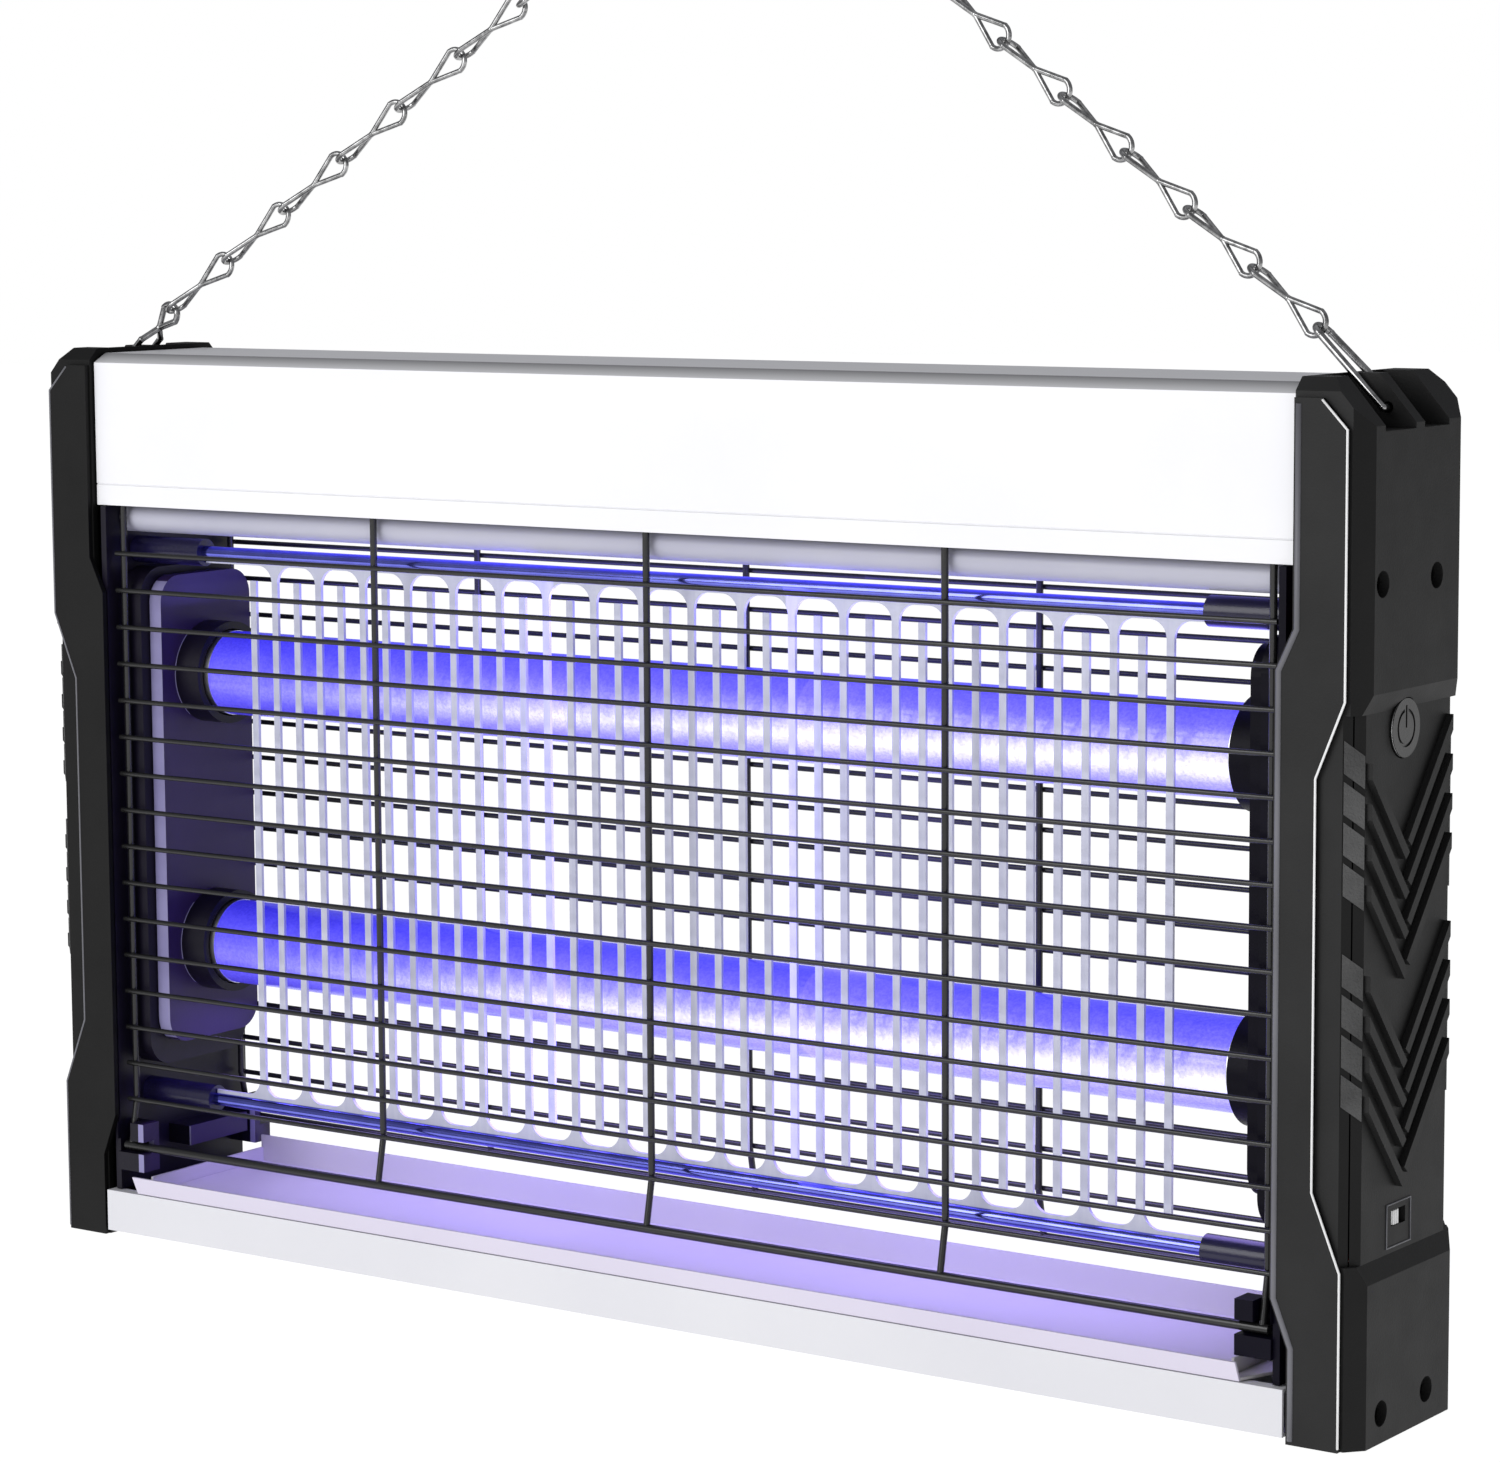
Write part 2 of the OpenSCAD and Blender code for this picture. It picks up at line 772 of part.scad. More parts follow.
// ---- Tray ----

tray_t = 0.8;
tray_seam = 0.05;
tray_wall_x = jaw_x - 1;

module tray_floor() {
    rear = tray_rear_y - tray_t - tray_seam;
    in_frame() color("lavender") translate([0, 0, tray_z]) linear_extrude(height = tray_t)
        polygon([[-tray_half, tray_front_y], [tray_half, tray_front_y], [tray_wing, tray_front_y + 15],
            [tray_wing, rear], [-tray_wing, rear], [-tray_wing, tray_front_y + 15]]);
}

// The sloping pull along the tray's front edge
module tray_front_lip() {
    y = tray_front_y - tray_seam;
    out_y = y - 2.4;
    lip_z = 19.8;
    in_frame() color("lavender") side_slab(-tray_half, tray_half)
        polygon([[y - tray_t, tray_z], [out_y - tray_t, lip_z], [out_y, lip_z], [y, tray_z]]);
}

module tray_rear_wall() {
    in_frame() color("lavender")
        box(-tray_wall_x, tray_wall_x, tray_rear_y - tray_t, tray_rear_y, tray_z, tray_rear_top);
}

module tray_end_wall(s) {
    side(s) box(tray_wall_x - tray_t, tray_wall_x, tray_front_y + 2, tray_rear_y - tray_t - tray_seam,
        tray_z + tray_t + tray_seam, tray_wall_top);
}

module tray_left_wall() {
    in_frame() color("lavender") tray_end_wall(-1);
}

module tray_right_wall() {
    in_frame() color("lavender") tray_end_wall(1);
}

// ---- Electronics ----

module circuit_board() {
    in_frame() color("darkgreen") difference() {
        box(30, 185, -16, 16, pan_floor + 3, pan_floor + 4.6);
        for (x = [35, 180], y = [-12, 12]) rod_z(pan_floor, pan_floor + 8, x, y, 1.6);
    }
}

module transformer() {
    low = pan_floor + 4.7;
    in_frame() color("dimgray") union() {
        box(120, 164, -17, 17, low, low + 24);
        box(128, 156, -19.5, 19.5, low + 4, low + 20);
    }
}

module board_components() {
    low = pan_floor + 4.7;
    in_frame() color("steelblue") union() {
        for (x = [45, 57, 69]) rod_z(low, low + 20, x, -7, 5);
        for (x = [48, 60, 72]) box(x - 4, x + 4, 3, 13, low, low + 11);
        box(84, 108, -12, -2, low, low + 14);
        rod_z(low, low + 16, 96, 7, 7);
    }
}

// A lead from the board through the right end cap to the end of a rail
module hv_lead(start_y, z, drop_y) {
    r = 1.1;
    x = half_w + 3.4;
    top = pan_floor + 6.5;
    a = [188, start_y, top];
    b = [x, start_y, top];
    c = [x, drop_y, z];
    d = [rail_end + 0.4, grid_y, z];
    wire(a, b, r);
    bead(b, r);
    wire(b, c, r);
    bead(c, r);
    wire(c, [x, grid_y, z], r);
    bead([x, grid_y, z], r);
    wire([x, grid_y, z], d, r);
}

module upper_hv_lead() {
    in_frame() color("red") hv_lead(-9, rail_upper_z, -9);
}

module lower_hv_lead() {
    in_frame() color("firebrick") hv_lead(10, rail_lower_z, 10);
}

module cord_gland() {
    in_frame() color("black") difference() {
        union() {
            rod_y(body_y - wall - 3, cap_y + 0.6, gland_x(), gland_z(), 3.9);
            rod_y(cap_y + 0.1, cap_y + 2, gland_x(), gland_z(), 5.5);
            rod_y(body_y - wall - 3, body_y - wall - 0.1, gland_x(), gland_z(), 5);
        }
        rod_y(body_y - wall - 5, cap_y + 5, gland_x(), gland_z(), 2.8);
    }
}

// ---- Controls ----

module power_button() {
    face = cap_x - waist_step + 0.8;
    stem = cap_x - waist_step - wall - 1.2;
    in_frame() color("#1a1a1a") difference() {
        union() {
            rod_x(stem, face, button_y, button_z, button_d / 2);
            rod_x(stem - 2.5, stem + eps, button_y, button_z, 2.5);
        }
        difference() {
            rod_x(face - 0.4, face + 1, button_y, button_z, button_d / 2 - 2.6);
            rod_x(face - 1, face + 2, button_y, button_z, button_d / 2 - 3.4);
            box(face - 1, face + 2, button_y - 1, button_y + 1, button_z, button_z + button_d);
        }
        box(face - 0.4, face + 1, button_y - 0.4, button_y + 0.4, button_z, button_z + button_d / 2 - 1.8);
    }
}

module button_switch() {
    back_x = cap_x - waist_step - wall - 1.2 - 2.5 - button_travel - 0.3;
    in_frame() color("dimgray") union() {
        box(back_x - 5, back_x, button_y - 6, button_y + 6, button_z - 7, button_z + 7);
        for (t = [-1, 1]) box(back_x - 9, back_x - 4.5, button_y - 2, button_y + 2, button_z + t * 4 - 0.4,
            button_z + t * 4 + 0.4);
    }
}

module slide_knob() {
    in_frame() color("white") union() {
        box(cap_x - waist_step - wall - 1.6, cap_x - waist_step - 0.3, knob_y - knob_w / 2, knob_y + knob_w / 2,
            knob_z - knob_h / 2, knob_z + knob_h / 2);
        for (t = [-1, 0, 1]) box(cap_x - waist_step - 0.35, cap_x - waist_step + 0.1, knob_y + t * 1.1 - 0.3,
            knob_y + t * 1.1 + 0.3, knob_z - knob_h / 2, knob_z + knob_h / 2);
    }
}

module slide_switch() {
    back_x = cap_x - waist_step - wall - 1.9;
    mid_y = knob_y + knob_travel / 2;
    in_frame() color("gray") box(back_x - 5, back_x, mid_y - 6, mid_y + 6, knob_z - 4, knob_z + 4);
}

hanging_ring();
left_chain();
right_chain();
left_end_link();
right_end_link();
top_housing();
housing_pan();
base_channel();
left_end_cap();
right_end_cap();
left_inner_cover();
right_inner_cover();
left_grip_pads();
right_grip_pads();
left_cap_screws();
right_cap_screws();
upper_rail();
lower_rail();
upper_left_insulator();
upper_right_insulator();
lower_left_insulator();
lower_right_insulator();
upper_comb();
lower_comb();
upper_left_lampholder();
upper_right_lampholder();
lower_left_lampholder();
lower_right_lampholder();
upper_lamp_tube();
lower_lamp_tube();
upper_lamp_ends();
lower_lamp_ends();
front_guard();
rear_guard();
tray_floor();
tray_front_lip();
tray_rear_wall();
tray_left_wall();
tray_right_wall();
circuit_board();
transformer();
board_components();
upper_hv_lead();
lower_hv_lead();
cord_gland();
power_button();
button_switch();
slide_knob();
slide_switch();
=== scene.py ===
import bpy, bmesh, math
from mathutils import Matrix, Vector


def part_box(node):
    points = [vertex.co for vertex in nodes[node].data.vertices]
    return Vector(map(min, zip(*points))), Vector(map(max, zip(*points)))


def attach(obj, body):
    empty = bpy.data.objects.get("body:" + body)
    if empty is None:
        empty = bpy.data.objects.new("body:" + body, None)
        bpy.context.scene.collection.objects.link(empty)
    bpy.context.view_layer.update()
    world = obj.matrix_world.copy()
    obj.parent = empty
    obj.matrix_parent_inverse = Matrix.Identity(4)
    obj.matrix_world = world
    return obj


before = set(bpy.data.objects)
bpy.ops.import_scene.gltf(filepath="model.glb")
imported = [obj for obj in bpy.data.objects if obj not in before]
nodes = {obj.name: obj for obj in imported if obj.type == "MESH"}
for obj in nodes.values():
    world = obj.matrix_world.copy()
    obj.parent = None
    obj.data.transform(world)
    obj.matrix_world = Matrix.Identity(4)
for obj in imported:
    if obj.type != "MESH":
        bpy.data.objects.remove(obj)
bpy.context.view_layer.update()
scene = bpy.context.scene
MM = 0.001

# ---- Where things are: the origin of the cabinet's own measures, in the shared frame ----
cap_lo, cap_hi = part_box("left_end_cap")
rcap_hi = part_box("right_end_cap")[1]
MID_X = (cap_lo.x + rcap_hi.x) / 2
MID_Y = (cap_lo.y + cap_hi.y) / 2
FOOT_Z = cap_lo.z


def at(x, y, z):
    """A point in millimetres from the cabinet's middle, with z up from its feet."""
    return Vector((MID_X + x * MM, MID_Y + y * MM, FOOT_Z + z * MM))


# ---- Camera ----
cam_data = bpy.data.cameras.new("Camera")
cam = bpy.data.objects.new("Camera", cam_data)
scene.collection.objects.link(cam)
scene.camera = cam
LENS_MM = 107.62
SHIFT_X = 0.0338
AZIMUTH, ELEVATION, ROLL = 35.745, 7.158, -0.449
AIM = (19.1, -26.0, 169.8)
DISTANCE_MM = 1227.4
cam_data.lens = LENS_MM
cam_data.sensor_width = 36
cam_data.shift_x = SHIFT_X
cam_data.clip_start = 0.05
cam_data.clip_end = 20
az, el, roll = math.radians(AZIMUTH), math.radians(ELEVATION), math.radians(ROLL)
fw = Vector((-math.sin(az) * math.cos(el), math.cos(az) * math.cos(el), -math.sin(el)))
rt = Vector((math.cos(az), math.sin(az), 0))
up = rt.cross(fw)
right = math.cos(roll) * rt + math.sin(roll) * up
top = -math.sin(roll) * rt + math.cos(roll) * up
eye = at(*AIM) - fw * (DISTANCE_MM * MM)
cam.matrix_world = Matrix(((right.x, top.x, -fw.x, eye.x), (right.y, top.y, -fw.y, eye.y),
                           (right.z, top.z, -fw.z, eye.z), (0, 0, 0, 1)))


# ---- Materials ----
def material(name):
    m = bpy.data.materials.new(name)
    m.use_nodes = True
    nt = m.node_tree
    bsdf = nt.nodes["Principled BSDF"]
    return m, nt, bsdf


def noise(nt, scale, detail=4, rough=0.55, stretch=None):
    tex = nt.nodes.new("ShaderNodeTexNoise")
    tex.inputs["Scale"].default_value = scale
    tex.inputs["Detail"].default_value = detail
    tex.inputs["Roughness"].default_value = rough
    coord = nt.nodes.new("ShaderNodeTexCoord")
    if stretch:
        mapping = nt.nodes.new("ShaderNodeMapping")
        mapping.inputs["Scale"].default_value = stretch
        nt.links.new(coord.outputs["Object"], mapping.inputs["Vector"])
        nt.links.new(mapping.outputs["Vector"], tex.inputs["Vector"])
    else:
        nt.links.new(coord.outputs["Object"], tex.inputs["Vector"])
    return tex.outputs["Fac"]


def ramp(nt, fac, stops):
    r = nt.nodes.new("ShaderNodeValToRGB")
    els = r.color_ramp.elements
    els[0].position, els[0].color = stops[0][0], stops[0][1]
    els[1].position, els[1].color = stops[-1][0], stops[-1][1]
    for p, c in stops[1:-1]:
        e = els.new(p)
        e.color = c
    nt.links.new(fac, r.inputs["Fac"])
    return r.outputs["Color"]


def span(nt, fac, low, high):
    r = nt.nodes.new("ShaderNodeMapRange")
    r.inputs["To Min"].default_value = low
    r.inputs["To Max"].default_value = high
    nt.links.new(fac, r.inputs["Value"])
    return r.outputs["Result"]


def bump(nt, bsdf, height, strength, distance):
    b = nt.nodes.new("ShaderNodeBump")
    b.inputs["Strength"].default_value = strength
    b.inputs["Distance"].default_value = distance
    nt.links.new(height, b.inputs["Height"])
    nt.links.new(b.outputs["Normal"], bsdf.inputs["Normal"])


def grey(v, b=0.0):
    return (v, v, v + b, 1)


def math_node(nt, op, a, b=None, c=None):
    n = nt.nodes.new("ShaderNodeMath")
    n.operation = op
    for i, v in enumerate((a, b, c)):
        if v is None:
            continue
        if isinstance(v, (int, float)):
            n.inputs[i].default_value = v
        else:
            nt.links.new(v, n.inputs[i])
    return n.outputs[0]


def facing(nt):
    """The object-space normal and the place within the node's own box, each as x, y, z."""
    coord = nt.nodes.new("ShaderNodeTexCoord")
    n = nt.nodes.new("ShaderNodeSeparateXYZ")
    p = nt.nodes.new("ShaderNodeSeparateXYZ")
    nt.links.new(coord.outputs["Normal"], n.inputs[0])
    nt.links.new(coord.outputs["Generated"], p.inputs[0])
    return n.outputs, p.outputs


def blend(nt, fac, a, b):
    """a where fac is 0, b where it is 1; each a colour or a socket."""
    m = nt.nodes.new("ShaderNodeMix")
    m.data_type = "RGBA"
    nt.links.new(fac, m.inputs[0])
    for i, v in ((6, a), (7, b)):
        if isinstance(v, tuple):
            m.inputs[i].default_value = v
        else:
            nt.links.new(v, m.inputs[i])
    return m.outputs[2]


def above(nt, value, edge):
    return math_node(nt, "GREATER_THAN", value, edge)


def colour_of(bsdf):
    """The socket that feeds the base colour now."""
    return bsdf.inputs["Base Color"].links[0].from_socket


def painted(name, colour, dark, rough=(0.3, 0.42), grain=700):
    m, nt, bsdf = material(name)
    wear = noise(nt, 14, 6)
    nt.links.new(ramp(nt, wear, [(0.3, dark), (0.75, colour)]), bsdf.inputs["Base Color"])
    nt.links.new(span(nt, noise(nt, 60), *rough), bsdf.inputs["Roughness"])
    bump(nt, bsdf, noise(nt, grain, 2), 0.12, 0.0002)
    return m, nt, bsdf


def moulded(name, colour, light, rough=(0.42, 0.55), grain=1800, depth=0.00012, strength=0.35):
    m, nt, bsdf = material(name)
    nt.links.new(ramp(nt, noise(nt, 30, 8), [(0.35, colour), (0.7, light)]), bsdf.inputs["Base Color"])
    nt.links.new(span(nt, noise(nt, 90), *rough), bsdf.inputs["Roughness"])
    bump(nt, bsdf, noise(nt, grain, 3), strength, depth)
    return m, nt, bsdf


def metal(name, colour, dark, rough=(0.14, 0.24), grain=500, stretch=None, metallic=1.0):
    m, nt, bsdf = material(name)
    bsdf.inputs["Metallic"].default_value = metallic
    g = noise(nt, grain, 4, 0.6, stretch)
    nt.links.new(ramp(nt, g, [(0.3, dark), (0.7, colour)]), bsdf.inputs["Base Color"])
    nt.links.new(span(nt, noise(nt, 120), *rough), bsdf.inputs["Roughness"])
    bump(nt, bsdf, g, 0.08, 0.0001)
    return m, nt, bsdf


def wear(node, mat):
    data = nodes[node].data if isinstance(node, str) else node.data
    if not data.materials:
        data.materials.append(mat)
    for i in range(len(data.materials)):
        data.materials[i] = mat


white, nt, bsdf = painted("white_paint", (0.92, 0.92, 0.94, 1), (0.87, 0.87, 0.91, 1))
n, p = facing(nt)
# The sloped bevel along the top is painted grey, darker towards its top edge: painted shade set by which
# way the face turns.
strip = ramp(nt, p[2], [(0.93, (0.78, 0.78, 0.8, 1)), (1.0, (0.2, 0.2, 0.21, 1))])
bevel_shade_mask = math_node(nt, "MULTIPLY", above(nt, n[2], 0.3), math_node(nt, "LESS_THAN", n[2], 0.93))
nt.links.new(blend(nt, bevel_shade_mask, colour_of(bsdf), strip), bsdf.inputs["Base Color"])

base_white = painted("base_paint", (0.76, 0.76, 0.79, 1), (0.71, 0.71, 0.75, 1))[0]
# The tray, its lip and the housing pan are white paint; their greyer and bluer tones are painted shade and
# painted blue lamp light.
tray_shaded_white = painted("tray_paint", (0.64, 0.62, 0.62, 1), (0.58, 0.56, 0.58, 1))[0]
lip_paint = painted("lip_paint", (0.7, 0.66, 0.78, 1), (0.65, 0.61, 0.74, 1))[0]
pan_paint = painted("pan_paint", (0.52, 0.52, 0.6, 1), (0.45, 0.45, 0.55, 1))[0]

# Both caps are one black plastic; the left cap's lower tone is painted shade.
caps = {}
for label, tone, gloss in (("left", 0.006, 0.16), ("right", 0.012, 0.24)):
    caps[label], nt, bsdf = moulded(label + "_cap_plastic", grey(tone), grey(tone * 1.5), (0.46, 0.58))
    n, p = facing(nt)
    # Faces turned to +X get a near-black tone: painted shade on the sides.
    side_shade_mask = above(nt, n[0], 0.5)
    deep = ramp(nt, noise(nt, 30, 8), [(0.35, grey(0.002)), (0.7, grey(0.004))])
    nt.links.new(blend(nt, side_shade_mask, colour_of(bsdf), deep), bsdf.inputs["Base Color"])
    bsdf.inputs["Specular IOR Level"].default_value = gloss

# Inner covers: near-black plastic for both; the left cover is given painted blue lamp light, indigo on its
# boss plate and lavender on that plate's front wall.
inner_dark, nt, bsdf = moulded("inner_plastic", (0.002, 0.0015, 0.006, 1), (0.004, 0.003, 0.01, 1),
                               (0.3, 0.42))
bsdf.inputs["Specular IOR Level"].default_value = 0.1
inner_painted_lamplight, nt, bsdf = moulded("inner_lit_plastic", (0.024, 0.013, 0.062, 1), (0.032, 0.018, 0.08, 1),
                              (0.35, 0.45))
bsdf.inputs["Specular IOR Level"].default_value = 0.25
n, p = facing(nt)
dark = ramp(nt, noise(nt, 30, 8), [(0.35, (0.004, 0.003, 0.01, 1)), (0.7, (0.007, 0.005, 0.014, 1))])
# The boss plate's span keeps the indigo painted lamp light; elsewhere the cover turns near-black.
plate = math_node(nt, "MULTIPLY", above(nt, p[0], 0.43), math_node(nt, "LESS_THAN", p[0], 0.63))
tone = blend(nt, plate, dark, colour_of(bsdf))
# The plate's front wall gets a lavender painted lamp light.
lamplit_wall_mask = math_node(nt, "MULTIPLY", plate, math_node(nt, "LESS_THAN", n[1], -0.6))
painted_wall_light = ramp(nt, noise(nt, 60, 6), [(0.3, (0.24, 0.22, 0.42, 1)), (0.7, (0.3, 0.28, 0.5, 1))])
nt.links.new(blend(nt, lamplit_wall_mask, tone, painted_wall_light), bsdf.inputs["Base Color"])

grip_grey = moulded("grip_texture", grey(0.05), grey(0.13), (0.6, 0.8), 1400, 0.0004, 0.9)[0]
screw_black = metal("screw_black", grey(0.02), grey(0.01), (0.3, 0.4))[0]
# The rails are chrome; their deep blue is a painted reflection of the lamps' light.
rail_metal = metal("rail_chrome_painted_blue", (0.2, 0.22, 0.8, 1), (0.14, 0.15, 0.65, 1), (0.1, 0.16), 90)[0]
sleeve_black = moulded("sleeve_black", (0.006, 0.004, 0.03, 1), (0.01, 0.008, 0.045, 1), (0.22, 0.3))[0]
# The comb is bright steel; its bluish grey is painted blue lamp light.
comb_metal = metal("comb_plate", (0.62, 0.63, 0.76, 1), (0.54, 0.55, 0.7, 1), (0.3, 0.38), 400,
                   (1, 1, 0.1), 0.4)[0]
ivory = moulded("holder_plastic", (0.8, 0.78, 0.72, 1), (0.85, 0.83, 0.77, 1), (0.35, 0.45))[0]
end_metal = metal("lamp_end_metal", grey(0.75), grey(0.66), (0.25, 0.35))[0]
wire_black = painted("guard_coat", grey(0.016), grey(0.008), (0.2, 0.3), 1500)[0]
chain_metal = metal("chain_zinc", grey(0.5), grey(0.16), (0.12, 0.22), 420)[0]
board_green = moulded("board_laminate", (0.01, 0.07, 0.03, 1), (0.02, 0.11, 0.05, 1), (0.35, 0.45))[0]
core_steel = metal("transformer_steel", grey(0.12), grey(0.08), (0.4, 0.55), 300, (0.1, 0.1, 4))[0]
part_blue = moulded("component_sleeve", (0.02, 0.035, 0.12, 1), (0.03, 0.05, 0.16, 1), (0.25, 0.35))[0]
lead_red = moulded("lead_insulation", (0.4, 0.02, 0.015, 1), (0.5, 0.03, 0.02, 1), (0.35, 0.45))[0]
gland_black = moulded("gland_nylon", grey(0.012), grey(0.02))[0]
button_black = moulded("button_plastic", grey(0.008), grey(0.012), (0.25, 0.35))[0]
switch_grey = moulded("switch_body", grey(0.06), grey(0.09))[0]
knob_white = moulded("knob_plastic", grey(0.8), grey(0.86), (0.35, 0.42))[0]
ring_metal = metal("button_ring", grey(0.9), grey(0.7), (0.2, 0.3))[0]
# White and grey strips; on the caps' front plates both are painted highlights along the edges.
painted_highlight_white = painted("painted_edge_highlight", grey(0.93), grey(0.85), (0.3, 0.4))[0]
rim_grey = moulded("rim_chamfer", (0.12, 0.12, 0.135, 1), (0.16, 0.16, 0.18, 1), (0.4, 0.5))[0]

# The lamp glass: a coated tube glowing blue, bluest at its -X end and along its top, palest a little below
# its middle; that pale stripe and the deeper blue above and below it are painted highlight and shade, set
# by which way the surface faces
glass, nt, bsdf = material("lamp_glass")
n, p = facing(nt)
round_it = span(nt, n[2], 0.0, 1.0)
round_it.node.inputs["From Min"].default_value = -1.0
# Painted highlight and shade round the tube, by the up-down direction of its face.
painted_highlight_band = ramp(nt, round_it, [(0.0, (0.14, 0.12, 0.7, 1)), (0.2, (0.36, 0.33, 0.86, 1)),
                           (0.36, (0.86, 0.84, 1, 1)), (0.55, (0.36, 0.33, 0.88, 1)),
                           (0.8, (0.14, 0.12, 0.8, 1)), (1.0, (0.07, 0.06, 0.7, 1))])
deep = ramp(nt, round_it, [(0.0, (0.035, 0.025, 0.42, 1)), (0.4, (0.13, 0.11, 0.72, 1)),
                           (1.0, (0.025, 0.02, 0.48, 1))])
inward = ramp(nt, p[0], [(0.03, grey(0)), (0.35, grey(0.6)), (0.8, grey(1)), (1.0, grey(0.9))])
speck = ramp(nt, noise(nt, 1100, 2, 0.8), [(0.38, (0.55, 0.55, 0.8, 1)), (0.62, (1.15, 1.15, 1.05, 1))])
tone = blend(nt, inward, deep, painted_highlight_band)
mul = nt.nodes.new("ShaderNodeMix")
mul.data_type = "RGBA"
mul.blend_type = "MULTIPLY"
mul.inputs[0].default_value = 0.8
nt.links.new(tone, mul.inputs[6])
nt.links.new(speck, mul.inputs[7])
nt.links.new(mul.outputs[2], bsdf.inputs["Emission Color"])
nt.links.new(tone, bsdf.inputs["Base Color"])
bsdf.inputs["Emission Strength"].default_value = 1.0
nt.links.new(span(nt, noise(nt, 200), 0.12, 0.2), bsdf.inputs["Roughness"])

looks = {
    "hanging_ring": chain_metal, "left_chain": chain_metal, "right_chain": chain_metal,
    "left_end_link": chain_metal, "right_end_link": chain_metal, "top_housing": white,
    "housing_pan": pan_paint, "base_channel": base_white,
    "left_end_cap": caps["left"], "right_end_cap": caps["right"],
    "left_inner_cover": inner_painted_lamplight, "right_inner_cover": inner_dark, "left_grip_pads": grip_grey,
    "right_grip_pads": grip_grey, "left_cap_screws": screw_black, "right_cap_screws": screw_black,
    "upper_rail": rail_metal, "lower_rail": rail_metal, "upper_left_insulator": sleeve_black,
    "upper_right_insulator": sleeve_black, "lower_left_insulator": sleeve_black,
    "lower_right_insulator": sleeve_black, "upper_comb": comb_metal, "lower_comb": comb_metal,
    "upper_left_lampholder": ivory, "upper_right_lampholder": ivory, "lower_left_lampholder": ivory,
    "lower_right_lampholder": ivory, "upper_lamp_tube": glass, "lower_lamp_tube": glass,
    "upper_lamp_ends": end_metal, "lower_lamp_ends": end_metal, "front_guard": wire_black,
    "rear_guard": wire_black, "tray_floor": tray_shaded_white, "tray_front_lip": lip_paint,
    "tray_rear_wall": tray_shaded_white, "tray_left_wall": tray_shaded_white, "tray_right_wall": tray_shaded_white,
    "circuit_board": board_green, "transformer": core_steel,
    "board_components": part_blue, "upper_hv_lead": lead_red, "lower_hv_lead": lead_red,
    "cord_gland": gland_black, "power_button": button_black, "button_switch": switch_grey,
    "slide_knob": knob_white, "slide_switch": switch_grey,
}
for name, mat in looks.items():
    wear(name, mat)


def new_piece(name, mesh, mat, body):
    o = bpy.data.objects.new(name, mesh)
    scene.collection.objects.link(o)
    o.data.materials.append(mat)
    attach(o, body)
    return o


def strip_mesh(name, path, wire, sides=8, closed=False):
    """A thin rounded strip that follows a path of points with mitred corners."""
    bm = bmesh.new()
    pts = [Vector(q) for q in path]
    count = len(pts)
    flat = (pts[1] - pts[0]).cross(pts[2] - pts[1]).normalized()
    rings = []
    for i, q in enumerate(pts):
        before = pts[i - 1] if (i > 0 or closed) else None
        after = pts[(i + 1) % count] if (i < count - 1 or closed) else None
        d0 = (q - before).normalized() if before is not None else (after - q).normalized()
        d1 = (after - q).normalized() if after is not None else d0
        along = (d0 + d1).normalized()
        across = flat.cross(along).normalized()
        stretch = 1 / max(0.5, along.dot(d0))
        rings.append([bm.verts.new(q + wire * (math.cos(a) * across * stretch + math.sin(a) * flat))
                      for a in [2 * math.pi * k / sides for k in range(sides)]])
    pairs = list(zip(rings, rings[1:])) + ([(rings[-1], rings[0])] if closed else [])
    for a, b in pairs:
        for k in range(sides):
            bm.faces.new((a[k], a[(k + 1) % sides], b[(k + 1) % sides], b[k]))
    if not closed:
        bm.faces.new(rings[0][::-1])
        bm.faces.new(rings[-1])
    bmesh.ops.recalc_face_normals(bm, faces=bm.faces)
    for f in bm.faces:
        f.smooth = True
    mesh = bpy.data.meshes.new(name)
    bm.to_mesh(mesh)
    bm.free()
    return mesh


# ---- Painted highlights on the front plates' edges: thin strips standing in for light caught along the bevels; the bright one is the outer at the right, the inner at the left ----
CAP_X = (rcap_hi.x - MID_X) / MM
HALF = CAP_X - 20.5
OUTER_Y, INNER_Y = -29.9, -29.7
outer = [(CAP_X - 11.8, 265.1), (CAP_X - 4.8, 257.8), (CAP_X - 4.8, 190.5), (CAP_X - 12.8, 171),
         (CAP_X - 12.8, 66), (CAP_X - 4.8, 46.2), (CAP_X - 4.8, 1)]
inner = [(HALF + 2.2, 264), (HALF + 2.2, 208), (HALF - 2.8, 197.5), (HALF - 2.8, 37.5), (HALF + 2.2, 25),
         (HALF + 2.2, 1)]
for label, s, inner_wire, outer_mat, inner_mat in (("left", -1, 0.25, rim_grey, painted_highlight_white),
                                                   ("right", 1, 0.9, painted_highlight_white, rim_grey)):
    edge = [at(s * x, OUTER_Y, z) for x, z in outer]
    new_piece(label + "_cap_outer_rim", strip_mesh(label + "_outer_rim", edge, 0.32 * MM), outer_mat,
              "cabinet")
    edge = [at(s * x, INNER_Y, z) for x, z in inner]
    new_piece(label + "_cap_inner_rim", strip_mesh(label + "_inner_rim", edge, inner_wire * MM), inner_mat,
              "cabinet")

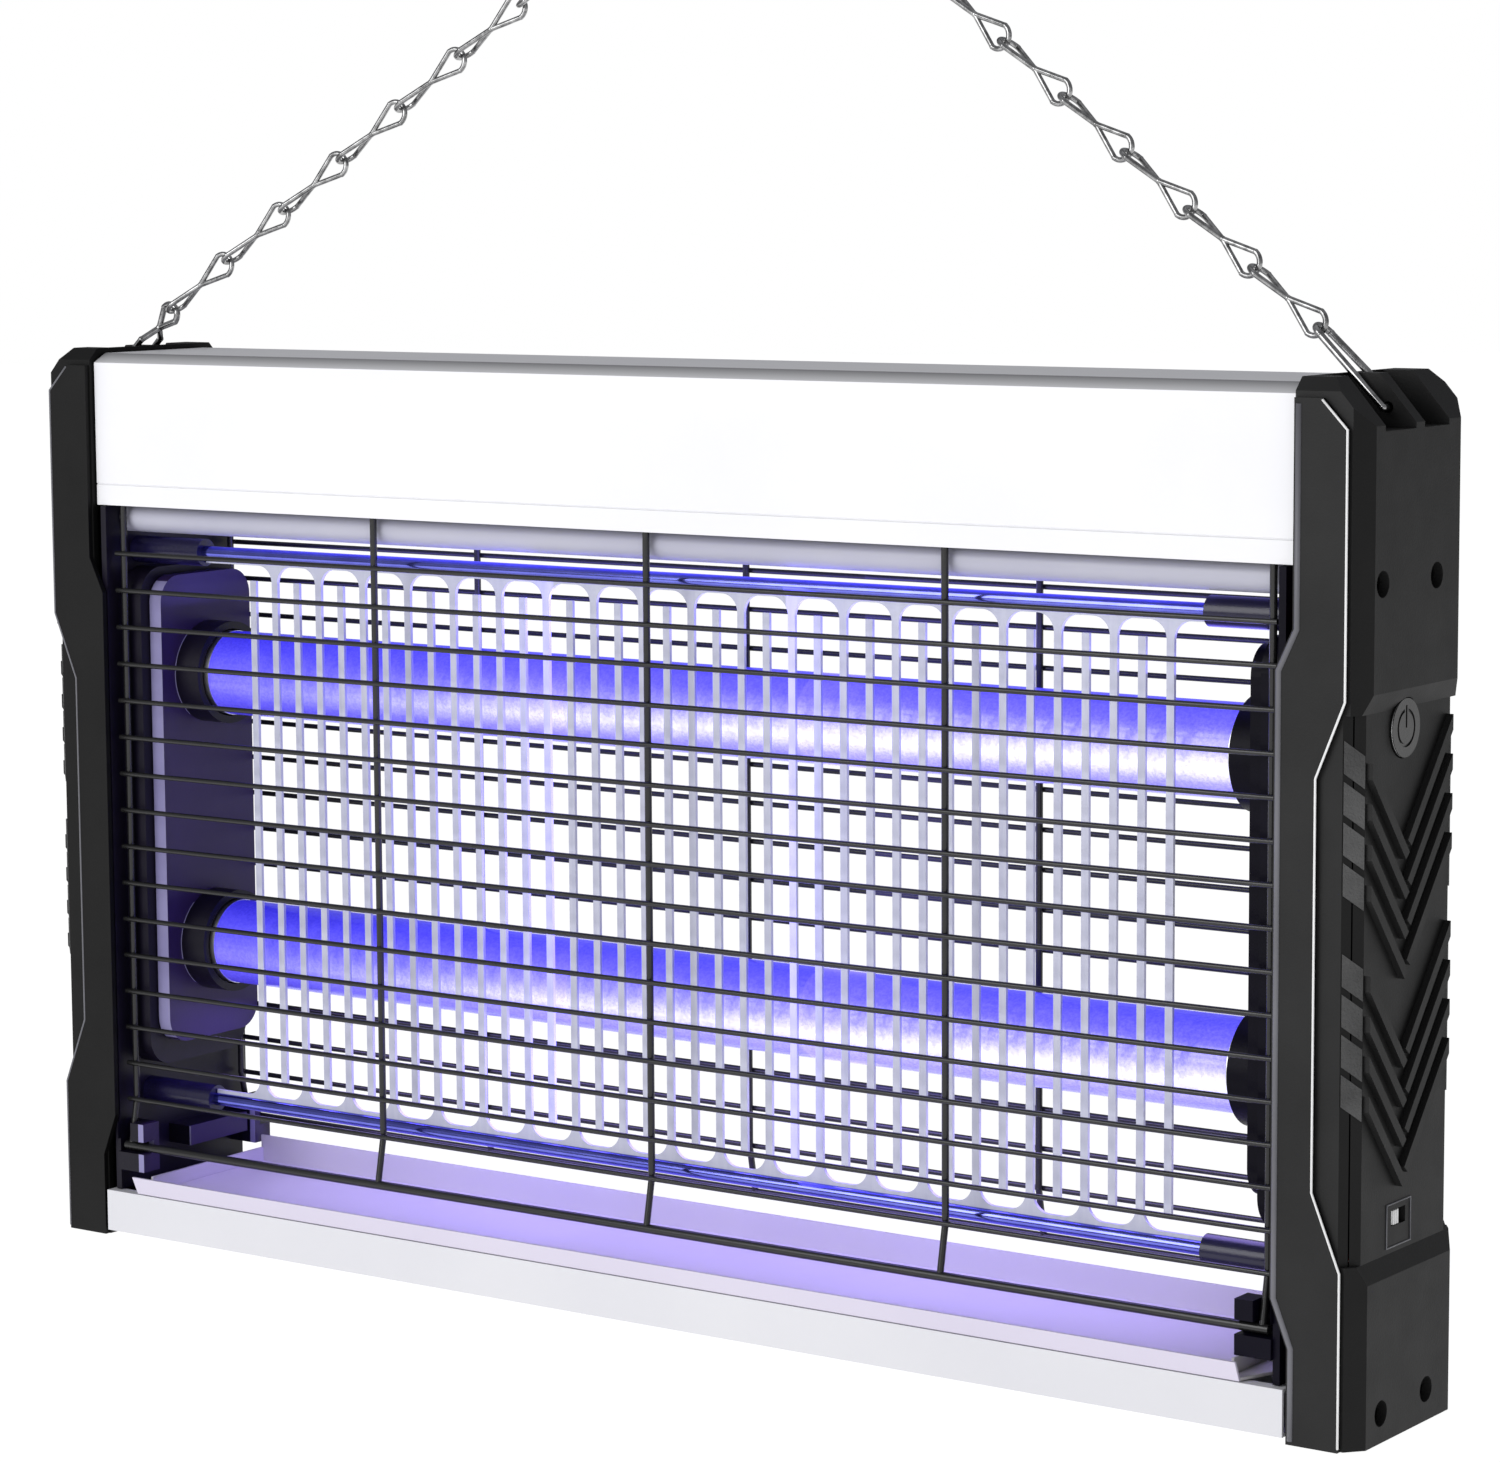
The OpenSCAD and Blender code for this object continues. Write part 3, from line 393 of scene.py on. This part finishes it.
# ---- The button's polished ring and the frame of the slide switch's window ----
b_lo, b_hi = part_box("power_button")
hub = (b_lo + b_hi) / 2
radius = (b_hi.z - b_lo.z) / 2 - 0.3 * MM
circle = [(b_hi.x - 0.36 * MM, hub.y + radius * math.cos(a), hub.z + radius * math.sin(a))
          for a in [2 * math.pi * k / 64 for k in range(64)]]
ring = strip_mesh("power_button_ring", circle, 0.35 * MM, 10, True)
new_piece("power_button_ring", ring, ring_metal, "power_button")
k_lo, k_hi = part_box("slide_knob")
y0, y1, z0, z1 = k_lo.y - 3 * MM, k_hi.y + 6 * MM, k_lo.z - 5.6 * MM, k_hi.z + 2 * MM
x = k_hi.x
frame_path = [(x, y0, z0), (x, y1, z0), (x, y1, z1), (x, y0, z1)]
rim = strip_mesh("switch_window_rim", frame_path, 0.22 * MM, 8, True)
new_piece("switch_window_rim", rim, rim_grey, "cabinet")

# ---- Stage: a pale floor, a white backdrop that only the camera sees, and lights ----
floor_mat, nt, bsdf = material("floor")
nt.links.new(ramp(nt, noise(nt, 3), [(0.3, grey(0.12)), (0.7, grey(0.14))]), bsdf.inputs["Base Color"])
bsdf.inputs["Roughness"].default_value = 0.9
bsdf.inputs["Specular IOR Level"].default_value = 0.0
bsdf.inputs["Emission Color"].default_value = (1, 1, 1, 1)
bsdf.inputs["Emission Strength"].default_value = 0.985
bpy.ops.mesh.primitive_plane_add(size=12, location=(MID_X, MID_Y, FOOT_Z - 0.0005))
floor = bpy.context.object
floor.name = "floor"
floor.data.materials.append(floor_mat)

sky_mat = bpy.data.materials.new("backdrop")
sky_mat.use_nodes = True
nt = sky_mat.node_tree
nt.nodes.clear()
out = nt.nodes.new("ShaderNodeOutputMaterial")
emit = nt.nodes.new("ShaderNodeEmission")
emit.inputs["Color"].default_value = (1, 1, 1, 1)
nt.links.new(emit.outputs["Emission"], out.inputs["Surface"])
bpy.ops.mesh.primitive_uv_sphere_add(radius=6.5, segments=48, ring_count=24, location=(MID_X, 0, FOOT_Z))
sky = bpy.context.object
sky.name = "backdrop"
sky.data.materials.append(sky_mat)
sky.visible_diffuse = False
sky.visible_glossy = False
sky.visible_shadow = False
sky.visible_transmission = False


def area(name, where, aim, size, power, colour=(1, 1, 1), size_y=None):
    data = bpy.data.lights.new(name, "AREA")
    data.energy = power
    data.color = colour
    data.size = size
    if size_y:
        data.shape = "RECTANGLE"
        data.size_y = size_y
    o = bpy.data.objects.new(name, data)
    scene.collection.objects.link(o)
    o.location = where
    o.rotation_mode = "QUATERNION"
    o.rotation_quaternion = (Vector(aim) - Vector(where)).to_track_quat("-Z", "Y")
    return o


# Studio lights, then four blue ones inside the cabinet that add to the lamps' own light
centre = at(0, 0, 140)
area("key", centre + Vector((-0.5, -1.6, 0.7)), centre, 1.2, 16)
area("side", centre + Vector((1.8, -0.3, 0.35)), centre, 0.9, 0.8)
area("fill", centre + Vector((0.9, -1.5, 0.1)), centre, 1.5, 3)
area("over", centre + Vector((0, 0.2, 2.0)), centre, 1.6, 1)
blue = (0.22, 0.18, 1.0)
area("blue_left", at(-40, 0, 130), at(-200, 0, 130), 0.05, 0.09, blue, 0.16)
area("blue_right", at(40, 0, 130), at(200, 0, 130), 0.05, 0.05, blue, 0.16)
area("blue_up", at(0, 4, 192), at(0, 4, 240), 0.36, 0.12, blue, 0.03)
area("blue_down", at(0, 4, 70), at(0, -4, 0), 0.36, 0.16, (0.45, 0.35, 1.0), 0.03)

world = bpy.data.worlds.new("World")
scene.world = world
world.use_nodes = True
bg = world.node_tree.nodes["Background"]
bg.inputs["Color"].default_value = (0.95, 0.96, 1.0, 1)
bg.inputs["Strength"].default_value = 0.3

scene.view_settings.view_transform = "Standard"
scene.view_settings.look = "None"
